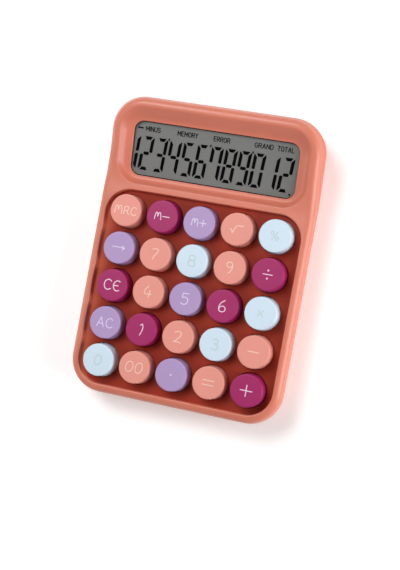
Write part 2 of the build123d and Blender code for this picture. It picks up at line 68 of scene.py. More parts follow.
def moulded_plastic(name, colour, roughness, grain_size, grain_depth, drift, ior=1.5):
    """Satin moulded plastic: drifting colour, two scales of texture and softly worn edges."""
    material = bpy.data.materials.new(name)
    material.use_nodes = True
    nodes, links = material.node_tree.nodes, material.node_tree.links
    shader = nodes["Principled BSDF"]
    shader.inputs["IOR"].default_value = ior
    place = nodes.new("ShaderNodeTexCoord")

    melt = nodes.new("ShaderNodeTexNoise")
    melt.inputs["Scale"].default_value = MELT_SCALE
    melt.inputs["Detail"].default_value = 3.0
    links.new(place.outputs["Object"], melt.inputs["Vector"])
    tone = nodes.new("ShaderNodeValToRGB")
    tone.color_ramp.elements[0].position = 0.3
    tone.color_ramp.elements[1].position = 0.7
    tone.color_ramp.elements[0].color = tuple(c * (1 - drift) for c in colour[:3]) + (1.0,)
    tone.color_ramp.elements[1].color = tuple(min(1.0, c * (1 + drift)) for c in colour[:3]) + (1.0,)
    links.new(melt.outputs["Fac"], tone.inputs["Fac"])
    links.new(tone.outputs["Color"], shader.inputs["Base Color"])

    grain = nodes.new("ShaderNodeTexNoise")
    grain.inputs["Scale"].default_value = 1.0 / grain_size
    grain.inputs["Detail"].default_value = 2.0
    links.new(place.outputs["Object"], grain.inputs["Vector"])
    sheen = nodes.new("ShaderNodeMapRange")
    sheen.inputs["To Min"].default_value = roughness - GLOSS_BELOW
    sheen.inputs["To Max"].default_value = roughness + GLOSS_ABOVE
    links.new(melt.outputs["Fac"], sheen.inputs["Value"])

    edges = nodes.new("ShaderNodeNewGeometry")
    worn = nodes.new("ShaderNodeMapRange")
    worn.inputs["From Min"].default_value = WEAR_STARTS
    worn.inputs["From Max"].default_value = WEAR_FULL
    worn.inputs["To Min"].default_value = 1.0
    worn.inputs["To Max"].default_value = WORN_ROUGHNESS
    links.new(edges.outputs["Pointiness"], worn.inputs["Value"])
    polish = nodes.new("ShaderNodeMath")
    polish.operation = "MULTIPLY"
    links.new(sheen.outputs["Result"], polish.inputs[0])
    links.new(worn.outputs["Result"], polish.inputs[1])
    links.new(polish.outputs["Value"], shader.inputs["Roughness"])

    texture = nodes.new("ShaderNodeBump")
    texture.inputs["Strength"].default_value = GRAIN_STRENGTH
    texture.inputs["Distance"].default_value = grain_depth
    links.new(grain.outputs["Fac"], texture.inputs["Height"])
    links.new(texture.outputs["Normal"], shader.inputs["Normal"])
    return material


coral = moulded_plastic("case coral", as_linear(212, 122, 100), 0.38, 0.00035, 0.00003, 0.025)
# Painted shade: the well floor's darker brick colour stands for the shade down in the keypad well.
WELL_PAINTED_SHADE = as_linear(147, 44, 24)
# Painted light: a paler coral towards the well's left wall, where more light reaches the floor.
WELL_LEFT_PAINTED_LIGHT = as_linear(196, 92, 66)
WELL_PAINTED_LIGHT_STARTS = -0.043  # metres along x, where painted light begins to pale the well towards its left wall
WELL_PAINTED_LIGHT_ENDS = -0.050


def well_shade_and_light_plastic():
    """The floor of the keypad well, with painted shade and painted light: a darker brick colour for the shade
    down in the well, paling towards its left wall.
    """
    material = moulded_plastic("well coral painted shade and light", WELL_PAINTED_SHADE, 0.6, 0.00035, 0.00003, 0.04, ior=1.3)
    nodes, links = material.node_tree.nodes, material.node_tree.links
    shader = nodes["Principled BSDF"]
    tone = shader.inputs["Base Color"].links[0].from_socket
    place = nodes.new("ShaderNodeTexCoord")
    axes = nodes.new("ShaderNodeSeparateXYZ")
    links.new(place.outputs["Object"], axes.inputs["Vector"])
    fade = nodes.new("ShaderNodeMapRange")
    fade.interpolation_type = "SMOOTHSTEP"
    fade.inputs["From Min"].default_value = WELL_PAINTED_LIGHT_STARTS
    fade.inputs["From Max"].default_value = WELL_PAINTED_LIGHT_ENDS
    links.new(axes.outputs["X"], fade.inputs["Value"])
    blend = nodes.new("ShaderNodeMix")
    blend.data_type = "RGBA"
    blend.inputs[7].default_value = WELL_LEFT_PAINTED_LIGHT
    links.new(fade.outputs["Result"], blend.inputs[0])
    links.new(tone, blend.inputs[6])
    links.new(blend.outputs[2], shader.inputs["Base Color"])
    return material


well_shade_and_light = well_shade_and_light_plastic()

# sizes in millimetres
SEAM_HEIGHT = 15.0
HALF_WIDTH = 54.6
HALF_LENGTH = 74.1
CORNER = 17.0
RIM_RISE = 5.99
RIM_ROUND = 3.3
DRAFT = 0.4  # the outer wall leans in this much on its way up to the rounding
HEAD_DRAFT = 1.1  # and this much more along the raised head
NARROWING_STARTS = -10.0  # along the case, from where the head's extra lean grows
NARROWING_LENGTH = 30.0
STRAIGHT_WALL = (0, 0.8, 1.6)  # heights of the rings below the rounding
WALL = 2.2
CEILING = 1.4
HEAD_START = 34.7
HEAD_TILT = math.radians(12.0)
HEAD_REAR = (HALF_LENGTH - HEAD_START) / math.cos(HEAD_TILT)
BEND_RADIUS = 60.0  # soft valley between keypad and head, at the crest of the rim
BEND_STARTS = 2.5  # below this height the two planes meet in a plain mitre

WELL_HALF_WIDTH = 50.1
WELL_FRONT = -69.65
WELL_REAR = 27.95
WELL_CORNER = 12.3
WELL_FLOOR = 18.2
WELL_EDGE_ROUND = 0.5
WELL_FOOT_ROUND = 0.5
WELL_CEILING = 16.5

PITCH_X = 19.05
PITCH_Y = 18.7
KEYPAD_Y = -20.3
KEY_HOLE = 8.6
HOLE_ROUND = 0.25

WINDOW_HALF_WIDTH = 42.3
WINDOW_FRONT = 1.5
WINDOW_REAR = 28.6
WINDOW_CORNER = 5.0
WINDOW_RISE = 2.5
WINDOW_ROUND = 0.35
LENS_LEDGE = 1.9
BOWL_HALF_WIDTH = 49.2
BOWL_FRONT = -2.8
BOWL_REAR = 36.1
BOWL_CORNER = 12.4
BOWL_STEPS = 18
BACK_STARTS = 24.0  # along the head, from where the bowl's slope turns long and gentle
BACK_LENGTH = 10.0
CREST_REACH = 0.30  # length of the slope's handle at the crest, at the front and the sides
CREST_REACH_LOSS = 0.18  # taken off it behind the window
FOOT_REACH = 0.25
FOOT_REACH_GAIN = 0.50
LENS_POCKET = (44.2, 0.05, 30.05, 2.0)  # half width, front, rear and corner
BOSS_TOP = 17.6
BOSS_ROUND = 0.2
BOARD_BOSS = (9.1, 2.2)  # lower end and radius
CASE_BOSS = (7.2, 2.4)
HEAD_BOSS_TOP = 23.6
HEAD_BOSSES = ((-36.0, 68.6), (36.0, 68.6))
PAINTED_SHADE_MARGIN = 0.1

mitre_slope = math.tan(HEAD_TILT / 2)
key_places = [
    ((column - 2) * PITCH_X, KEYPAD_Y + (row - 2) * PITCH_Y) for row in range(5) for column in range(5)
]


def on_case(points):
    """Turn (x, along, height) into x, y, z. Along runs from the mitre, back over the tilted head."""
    placed = []
    for x, along, height in points:
        bend = BEND_RADIUS * max(0.0, height - BEND_STARTS) / (RIM_RISE - BEND_STARTS)
        reach = bend * mitre_slope
        front = HEAD_START - height * mitre_slope
        if along <= -reach:
            placed.append((x, front + along, SEAM_HEIGHT + height))
        elif along >= reach:
            run = height * mitre_slope + along
            placed.append(
                (
                    x,
                    HEAD_START + run * math.cos(HEAD_TILT) - height * math.sin(HEAD_TILT),
                    SEAM_HEIGHT + run * math.sin(HEAD_TILT) + height * math.cos(HEAD_TILT),
                )
            )
        else:
            turn = HEAD_TILT * (along + reach) / (2 * reach)
            lift = bend * (1 - math.cos(turn))
            placed.append((x, front - reach + bend * math.sin(turn), SEAM_HEIGHT + height + lift))
    return placed


def rounded_loop(half_width, front, rear, corner, sides=56, ends=26, arc=14):
    """Rounded rectangle as (x, along) points, anticlockwise from the front right corner."""
    points = []
    corners = (
        (half_width - corner, front + corner, -90),
        (half_width - corner, rear - corner, 0),
        (-half_width + corner, rear - corner, 90),
        (-half_width + corner, front + corner, 180),
    )
    for number, (x, y, start) in enumerate(corners):
        for step in range(arc + 1):
            angle = math.radians(start + 90 * step / arc)
            points.append((x + corner * math.cos(angle), y + corner * math.sin(angle)))
        next_x, next_y, next_start = corners[(number + 1) % 4]
        angle = math.radians(next_start)
        end = (next_x + corner * math.cos(angle), next_y + corner * math.sin(angle))
        count = sides if number % 2 == 0 else ends
        first = points[-1]
        for step in range(1, count):
            share = step / count
            points.append(tuple(a + (b - a) * share for a, b in zip(first, end)))
    return points


def case_ring(inset, height):
    """Ring of the case outline at one height, moved in by inset, with the outer wall's draft."""
    rise = min(1.0, height / (RIM_RISE - RIM_ROUND))
    inset = inset + DRAFT * rise
    front = -HALF_LENGTH - HEAD_START + height * mitre_slope + inset
    rear = HEAD_REAR - height * mitre_slope - inset
    ring = []
    for x, along in rounded_loop(HALF_WIDTH - inset, front, rear, CORNER - inset):
        back = min(1.0, max(0.0, (along - NARROWING_STARTS) / NARROWING_LENGTH))
        narrower = HEAD_DRAFT * rise * back * back * (3 - 2 * back)
        ring.append((x * (1 - narrower / HALF_WIDTH), along, height))
    return ring


def well_ring(grow, height):
    """Ring of the keypad well at one height, moved out by grow."""
    shift = HEAD_START - height * mitre_slope
    loop = rounded_loop(
        WELL_HALF_WIDTH + grow, WELL_FRONT - grow - shift, WELL_REAR + grow - shift, WELL_CORNER + grow
    )
    return [(x, along, height) for x, along in loop]


def head_ring(half_width, front, rear, corner, height):
    """Ring on the head, given along the head's own seam plane."""
    lift = height * mitre_slope
    return [(x, along, height) for x, along in rounded_loop(half_width, front - lift, rear - lift, corner)]


def hole_ring(x, y, radius, height, count=40):
    """Ring of one key hole at one height."""
    along = y - HEAD_START + height * mitre_slope
    turns = [2 * math.pi * n / count for n in range(count)]
    return [(x + radius * math.cos(turn), along + radius * math.sin(turn), height) for turn in turns]


class Shell:
    """Collects rings and filled faces, and welds them into one closed mesh."""

    def __init__(self):
        self.points = []
        self.faces = []

    def band(self, rings):
        """Quads between each ring and the next one of the same count."""
        for lower, upper in zip(rings, rings[1:]):
            start = len(self.points)
            count = len(lower)
            self.points += lower + upper
            for n in range(count):
                after = (n + 1) % count
                self.faces.append((start + n, start + after, start + count + after, start + count + n))

    def fill(self, loops, extra=(), place=on_case):
        """Triangles between the first loop and the holes after it; extra points keep them small."""
        height = loops[0][0][2]
        flat, edges = [], []
        for loop in loops:
            start = len(flat)
            flat += [(x, y) for x, y, _ in loop]
            edges += [(start + n, start + (n + 1) % len(loop)) for n in range(len(loop))]
        borders = np.array([(flat[a], flat[b]) for a, b in edges])
        inner = [p for p in extra if inside_loops(np.array([p]), borders)[0]]
        spots = [Vector(p) for p in flat + inner]
        points, _, triangles, _, _, _ = delaunay_2d_cdt(spots, edges, [], 0, 1e-5)
        points = np.array([tuple(p) for p in points])
        triangles = np.array(triangles)
        kept = triangles[inside_loops(points[triangles].mean(axis=1), borders)]
        start = len(self.points)
        self.points += place([(x, y, height) for x, y in points])
        self.faces += [tuple(int(i) + start for i in triangle) for triangle in kept]

    def mesh(self, name):
        """One welded mesh in metres with its faces turned outwards."""
        mesh = bpy.data.meshes.new(name)
        mesh.from_pydata([(x * MM, y * MM, z * MM) for x, y, z in self.points], [], self.faces)
        work = bmesh.new()
        work.from_mesh(mesh)
        bmesh.ops.remove_doubles(work, verts=work.verts, dist=1e-7)
        bmesh.ops.dissolve_degenerate(work, edges=work.edges, dist=1e-8)
        loose = [v for v in work.verts if not v.link_faces]
        bmesh.ops.delete(work, geom=loose, context="VERTS")
        bmesh.ops.recalc_face_normals(work, faces=work.faces)
        work.to_mesh(mesh)
        work.free()
        return mesh


def inside_loops(points, borders):
    """Even-odd test of points against all borders at once."""
    batch = 2000  # points tested at once, to spare memory
    result = np.zeros(len(points), dtype=bool)
    start, end = borders[:, 0], borders[:, 1]
    for first in range(0, len(points), batch):
        part = points[first : first + batch]
        x, y = part[:, 0][:, None], part[:, 1][:, None]
        spans = (start[None, :, 1] > y) != (end[None, :, 1] > y)
        rise = end[None, :, 1] - start[None, :, 1]
        rise = np.where(np.abs(rise) < 1e-12, 1e-12, rise)
        run = end[None, :, 0] - start[None, :, 0]
        cross = start[None, :, 0] + (y - start[None, :, 1]) / rise * run
        result[first : first + batch] = (spans & (x < cross)).sum(axis=1) % 2 == 1
    return result


def rounding(steps):
    """Sideways and upward shares of a quarter round, from its foot to its crest."""
    angles = [math.pi / 2 * n / steps for n in range(steps + 1)]
    return [(1 - math.cos(angle), math.sin(angle)) for angle in angles]


def finish_object(name, mesh, material, smooth_angle=40.0, weighted=True):
    """Object at the origin with its finish, smooth faces and crisp folds."""
    piece = bpy.data.objects.new(name, mesh)
    bpy.context.scene.collection.objects.link(piece)
    mesh.materials.clear()
    mesh.materials.append(material)
    mesh.shade_smooth()
    mesh.set_sharp_from_angle(angle=math.radians(smooth_angle))
    if weighted:
        shading = piece.modifiers.new("even shading", "WEIGHTED_NORMAL")
        shading.keep_sharp = True
        shading.weight = 80
    return piece


cover = Shell()
outside = [case_ring(0, height) for height in (*STRAIGHT_WALL, RIM_RISE - RIM_ROUND)]
for side, up in rounding(9)[1:]:
    outside.append(case_ring(RIM_ROUND * side, RIM_RISE - RIM_ROUND + RIM_ROUND * up))
cover.band([on_case(ring) for ring in outside])

well_top = [
    well_ring(WELL_EDGE_ROUND * side, RIM_RISE - WELL_EDGE_ROUND + WELL_EDGE_ROUND * up)
    for side, up in reversed(rounding(5))
]
floor_height = WELL_FLOOR - SEAM_HEIGHT
well_foot = [
    well_ring(-WELL_FOOT_ROUND * side, floor_height + WELL_FOOT_ROUND * (1 - up)) for side, up in rounding(4)
]
well = well_top + well_foot
cover.band([on_case(ring) for ring in well])

# The bowl falls from its crest in an S and runs out almost flat at the window. The S is tight
# along the front ridge and the sides, and long and gentle behind the window.


def glide(s, crest_reach, foot_reach):
    """Share of the way to the window at s, with handles at the crest and at the foot."""
    return 3 * (1 - s) ** 2 * s * crest_reach + 3 * (1 - s) * s**2 * foot_reach + s**3


crest_loop = rounded_loop(BOWL_HALF_WIDTH, BOWL_FRONT, BOWL_REAR, BOWL_CORNER)
foot_loop = rounded_loop(
    WINDOW_HALF_WIDTH + WINDOW_ROUND, WINDOW_FRONT - WINDOW_ROUND, WINDOW_REAR + WINDOW_ROUND,
    WINDOW_CORNER + WINDOW_ROUND,
)
bowl = []
for step in range(BOWL_STEPS + 1):
    s = step / BOWL_STEPS
    height = RIM_RISE + (WINDOW_RISE - RIM_RISE) * (3 * (1 - s) * s**2 + s**3)
    ring = []
    for (x, along), (foot_x, foot_along) in zip(crest_loop, foot_loop):
        behind = min(1.0, max(0.0, (along - BACK_STARTS) / BACK_LENGTH))
        travel = glide(s, CREST_REACH - CREST_REACH_LOSS * behind, FOOT_REACH + FOOT_REACH_GAIN * behind)
        spot = along + (foot_along - along) * travel - height * mitre_slope
        ring.append((x + (foot_x - x) * travel, spot, height))
    bowl.append(ring)
window = [
    head_ring(
        WINDOW_HALF_WIDTH + WINDOW_ROUND * side,
        WINDOW_FRONT - WINDOW_ROUND * side,
        WINDOW_REAR + WINDOW_ROUND * side,
        WINDOW_CORNER + WINDOW_ROUND * side,
        WINDOW_RISE - WINDOW_ROUND * (1 - up),
    )
    for side, up in reversed(rounding(4)[:-1])
]
window.append(head_ring(WINDOW_HALF_WIDTH, WINDOW_FRONT, WINDOW_REAR, WINDOW_CORNER, LENS_LEDGE))
window.append(head_ring(*LENS_POCKET, LENS_LEDGE))
window.append(head_ring(*LENS_POCKET, CEILING))
cover.band([on_case(ring) for ring in bowl + window])

# The flat crest between the rim, the well and the bowl, with points to keep the bend smooth.
bend_points = [(x, along) for x in np.arange(-52, 52.1, 1.0) for along in np.arange(-12, 14.1, 1.0)]
cover.fill([outside[-1], well[0], bowl[0]], bend_points)

hole_tops = [hole_ring(x, y, KEY_HOLE + HOLE_ROUND, floor_height) for x, y in key_places]
cover.fill([well[-1]] + hole_tops)
hole_feet = []
for (x, y), top in zip(key_places, hole_tops):
    rings = [
        hole_ring(x, y, KEY_HOLE + HOLE_ROUND * side, floor_height - HOLE_ROUND * (1 - up))
        for side, up in reversed(rounding(3))
    ]
    foot = hole_ring(x, y, KEY_HOLE, CEILING)
    hole_feet.append(foot)
    cover.band([on_case(ring) for ring in rings + [foot]])

inner_wall = [case_ring(WALL, CEILING), case_ring(WALL, 0)]
cover.fill([inner_wall[0], window[-1]] + hole_feet)
cover.band([on_case(ring) for ring in inner_wall + [case_ring(0, 0)]])

# Bosses for the board screws and the case screws, each a plain post with a rounded foot. Those under
# the keypad stand between the keys, at half pitches from its middle.
board_bosses = [(x * PITCH_X, KEYPAD_Y + y * PITCH_Y) for x in (-1.5, -0.5, 0.5, 1.5) for y in (-0.5, 0.5)]
case_bosses = [(x * PITCH_X, KEYPAD_Y + y * PITCH_Y) for x in (-1.5, 1.5) for y in (-1.5, 1.5)]
boss_sizes = [(x, y, *BOARD_BOSS, BOSS_TOP) for x, y in board_bosses]
boss_sizes += [(x, y, *CASE_BOSS, BOSS_TOP) for x, y in case_bosses]
boss_sizes += [(x, y, *CASE_BOSS, HEAD_BOSS_TOP) for x, y in HEAD_BOSSES]


def round_post(x, y, low, radius, high, count=20):
    """Closed upright post: three rings and two end faces."""
    post = Shell()
    turns = [2 * math.pi * n / count for n in range(count)]
    rings = [
        [(x + reach * math.cos(turn), y + reach * math.sin(turn), z) for turn in turns]
        for reach, z in ((radius - BOSS_ROUND, low), (radius, low + BOSS_ROUND), (radius, high))
    ]
    post.band(rings)
    post.points += rings[0] + rings[-1]
    start = len(post.points) - 2 * count
    post.faces.append(tuple(range(start, start + count)))
    post.faces.append(tuple(range(start + count, start + 2 * count)))
    return post


cover_mesh = cover.mesh("top cover")
posts = [round_post(*size).mesh("boss") for size in boss_sizes]
work = bmesh.new()
for part in [cover_mesh] + posts:
    work.from_mesh(part)
work.to_mesh(cover_mesh)
work.free()
for part in posts:
    bpy.data.meshes.remove(part)
top = finish_object("top_shell", cover_mesh, coral, 35.0)
# Second material: painted shade in the well, darker brick, with painted light paling it towards the left
# wall.
cover_mesh.materials.append(well_shade_and_light)
well_middle = (WELL_FRONT + WELL_REAR) / 2
well_straight_x = WELL_HALF_WIDTH - WELL_CORNER
well_straight_y = (WELL_REAR - WELL_FRONT) / 2 - WELL_CORNER
# Faces of the well floor, found by plan and height, take the painted shade material.
for face in cover_mesh.polygons:
    x, y, z = face.center / MM
    past_x = max(0.0, abs(x) - well_straight_x)
    past_y = max(0.0, abs(y - well_middle) - well_straight_y)
    in_plan = math.hypot(past_x, past_y) < WELL_CORNER - PAINTED_SHADE_MARGIN
    if in_plan and WELL_CEILING < z < WELL_FLOOR + PAINTED_SHADE_MARGIN:
        face.material_index = 1
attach(top, "case")
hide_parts("top_cover")

# ------------------------------------------------------------------ bottom cover and battery door
# The lower shell and the sliding door are moulded from the same coral plastic as the top. The shell
# is screwed on from below, and the door slides out of it to the rear on its tongues.


def dress(node, material):
    """Give a carried-over CAD node its finish."""
    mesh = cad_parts[node].data
    mesh.materials.clear()
    mesh.materials.append(material)


dress("bottom_cover", coral)
dress("battery_door", moulded_plastic("door coral", as_linear(210, 121, 99), 0.42, 0.0003, 0.00003, 0.02))

# ------------------------------------------------------------------ rubber feet
# Four dark grey rubber discs glued into recesses in the base, matt with a dusty bloom. The
# calculator stands on them.
foot_rubber = moulded_plastic("foot rubber", as_linear(52, 50, 50), 0.82, 0.0006, 0.00006, 0.12, ior=1.45)
dress("rubber_feet", foot_rubber)

# ------------------------------------------------------------------ keycaps
# Twenty five round moulded caps with a small round at the top edge, a skirt and a flange that
# stops them in the holes. Each springs down on its own dome, and rides on its own body.
KEY_TOP = 25.0
KEY_RADIUS = 7.95
KEY_PROFILE_ROUND = 0.45
EDGE_SWEEP = 87  # degrees of rounding from the flat top down to the slightly drafted side
EDGE_STEPS = 6
KEY_TURNS = 72
RIBS = ((0.0136, 0.0009, 0.0053), (0.0009, 0.0136, 0.0053))  # metres
RIB_MIDDLE = 0.0208
KEY_COLOURS = {
    "peach": as_linear(230, 150, 136),
    "magenta": as_linear(162, 33, 97),
    "lilac": as_linear(176, 150, 196),
    "blue": as_linear(208, 226, 240),
}
KEYS = (
    (("key_0", "blue"), ("key_00", "peach"), ("key_point", "lilac"), ("key_equals", "peach"),
     ("key_plus", "magenta")),
    (("key_ac", "lilac"), ("key_1", "magenta"), ("key_2", "peach"), ("key_3", "blue"),
     ("key_minus", "peach")),
    (("key_ce", "magenta"), ("key_4", "peach"), ("key_5", "lilac"), ("key_6", "magenta"),
     ("key_multiply", "blue")),
    (("key_backspace", "lilac"), ("key_7", "peach"), ("key_8", "blue"), ("key_9", "peach"),
     ("key_divide", "magenta")),
    (("key_memory_recall", "peach"), ("key_memory_minus", "magenta"), ("key_memory_plus", "lilac"),
     ("key_root", "peach"), ("key_percent", "blue")),
)
key_plastic = {
    shade: moulded_plastic(f"key {shade}", colour, 0.46, 0.00028, 0.00002, 0.02, ior=1.4)
    for shade, colour in KEY_COLOURS.items()
}
# radius and height down the skirt, round its flange and up the inside to the stem
KEY_SECTION = (
    (8.25, 18.2), (8.25, 16.2), (9.05, 16.2), (9.05, 15.2), (7.0, 15.2), (6.8, 23.4), (2.1, 23.4),
    (2.0, 13.8), (0.0, 13.8),
)
LATHE_RADIUS = 1.0  # circle that the section is carried round, so the section is drawn from there


def keycap_section():
    """Open wire of the cap's section: crown, rounded edge, skirt, flange, inside and stem."""
    crown = [(radius, KEY_TOP) for radius in (0.0, 2.5, 5.0, 7.0)]
    centre = (KEY_RADIUS - KEY_PROFILE_ROUND, KEY_TOP - KEY_PROFILE_ROUND)
    for step in range(EDGE_STEPS + 1):
        angle = math.radians(90 - EDGE_SWEEP * step / EDGE_STEPS)
        aim = (math.cos(angle), math.sin(angle))
        crown.append((centre[0] + KEY_PROFILE_ROUND * aim[0], centre[1] + KEY_PROFILE_ROUND * aim[1]))
    return section_wire(crown + list(KEY_SECTION))


def section_wire(wire):
    """Mesh wire of radius and height pairs for the lathe."""
    mesh = bpy.data.meshes.new("section")
    points = [((radius - LATHE_RADIUS) * MM, -z * MM, 0.0) for radius, z in wire]
    mesh.from_pydata(points, [(n, n + 1) for n in range(len(points) - 1)], [])
    return mesh


def lathe_tree(ribs):
    """Lathe a section round its axis, add any ribs and move it to its place."""
    tree = bpy.data.node_groups.new("lathe", "GeometryNodeTree")
    sockets = tree.interface
    sockets.new_socket("Geometry", in_out="OUTPUT", socket_type="NodeSocketGeometry")
    sockets.new_socket("Geometry", in_out="INPUT", socket_type="NodeSocketGeometry")
    sockets.new_socket("Place", in_out="INPUT", socket_type="NodeSocketVector")
    sockets.new_socket("Turns", in_out="INPUT", socket_type="NodeSocketInt")
    sockets.new_socket("Plastic", in_out="INPUT", socket_type="NodeSocketMaterial")
    nodes, links = tree.nodes, tree.links
    given = nodes.new("NodeGroupInput")
    section = nodes.new("GeometryNodeMeshToCurve")
    links.new(given.outputs["Geometry"], section.inputs["Mesh"])
    circle = nodes.new("GeometryNodeCurvePrimitiveCircle")
    circle.inputs["Radius"].default_value = LATHE_RADIUS * MM
    links.new(given.outputs["Turns"], circle.inputs["Resolution"])
    lathe = nodes.new("GeometryNodeCurveToMesh")
    links.new(circle.outputs["Curve"], lathe.inputs["Curve"])
    links.new(section.outputs["Curve"], lathe.inputs["Profile Curve"])
    weld = nodes.new("GeometryNodeMergeByDistance")
    weld.inputs["Distance"].default_value = 0.00001
    links.new(lathe.outputs["Mesh"], weld.inputs["Geometry"])
    whole = nodes.new("GeometryNodeJoinGeometry")
    links.new(weld.outputs["Geometry"], whole.inputs["Geometry"])
    for size in ribs:
        rib = nodes.new("GeometryNodeMeshCube")
        rib.inputs["Size"].default_value = size
        raised = nodes.new("GeometryNodeTransform")
        raised.inputs["Translation"].default_value = (0.0, 0.0, RIB_MIDDLE)
        links.new(rib.outputs["Mesh"], raised.inputs["Geometry"])
        links.new(raised.outputs["Geometry"], whole.inputs["Geometry"])
    placed = nodes.new("GeometryNodeTransform")
    links.new(whole.outputs["Geometry"], placed.inputs["Geometry"])
    links.new(given.outputs["Place"], placed.inputs["Translation"])
    real = nodes.new("GeometryNodeRealizeInstances")
    links.new(placed.outputs["Geometry"], real.inputs["Geometry"])
    finish = nodes.new("GeometryNodeSetMaterial")
    links.new(real.outputs["Geometry"], finish.inputs["Geometry"])
    links.new(given.outputs["Plastic"], finish.inputs["Material"])
    result = nodes.new("NodeGroupOutput")
    links.new(finish.outputs["Geometry"], result.inputs["Geometry"])
    return tree


def outward(mesh):
    """Turn every face outwards on a closed mesh."""
    work = bmesh.new()
    work.from_mesh(mesh)
    bmesh.ops.recalc_face_normals(work, faces=work.faces)
    work.to_mesh(mesh)
    work.free()


def turned(section, tree, x, y, turns, material):
    """Closed mesh of a section lathed at a place."""
    inputs = [item for item in tree.interface.items_tree if item.in_out == "INPUT"]
    socket = {item.name: item.identifier for item in inputs}
    blank = bpy.data.objects.new("blank", section)
    bpy.context.scene.collection.objects.link(blank)
    lathe = blank.modifiers.new("lathe", "NODES")
    lathe.node_group = tree
    lathe[socket["Place"]] = (x * MM, y * MM, 0.0)
    lathe[socket["Turns"]] = turns
    lathe[socket["Plastic"]] = material
    mesh = bpy.data.meshes.new_from_object(blank.evaluated_get(bpy.context.evaluated_depsgraph_get()))
    bpy.data.objects.remove(blank)
    outward(mesh)
    return mesh


keycap = lathe_tree(RIBS)
cap_wire = keycap_section()
for row, line in enumerate(KEYS):
    for column, (node, shade) in enumerate(line):
        x, y = key_places[row * 5 + column]
        cap_mesh = turned(cap_wire, keycap, x, y, KEY_TURNS, key_plastic[shade])
        cap = finish_object(f"cap_{node[4:]}", cap_mesh, key_plastic[shade], 35.0)
        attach(cap, node)
        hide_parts(node)

# ------------------------------------------------------------------ key legends
# Plain rounded figures and signs, pad printed on the caps in a paler ink than each plastic.
# Every legend is one thin plate of ink, drawn as strokes of one width and merged.
INK_HALF_WIDTH = 0.21
INK_THICKNESS = 0.03
INK_SUNK = 0.05
CURVE_STEPS = 6
OVAL_STEPS = 28


def pen(*points, closed=False):
    """Smooth stroke through the points."""
    if len(points) == 2:
        return [Vector(points[0]), Vector(points[1])]
    ends = list(points)
    ends = [ends[-1]] + ends + ends[:2] if closed else [ends[0]] + ends + [ends[-1]]
    track = []
    for a, b, c, d in zip(ends, ends[1:], ends[2:], ends[3:]):
        a, b, c, d = Vector(a), Vector(b), Vector(c), Vector(d)
        for step in range(CURVE_STEPS):
            s = step / CURVE_STEPS
            bow, twist = 2 * a - 5 * b + 4 * c - d, 3 * b - a - 3 * c + d
            track.append(0.5 * (2 * b + (c - a) * s + bow * s**2 + twist * s**3))
    track.append(Vector(ends[-2]))
    return track


def oval(x, y, half_width, half_height, lean=0.0):
    """Closed leaning oval."""
    turns = [2 * math.pi * n / OVAL_STEPS for n in range(OVAL_STEPS + 1)]
    return [
        Vector((x + half_width * math.cos(turn) + lean * math.sin(turn), y + half_height * math.sin(turn)))
        for turn in turns
    ]


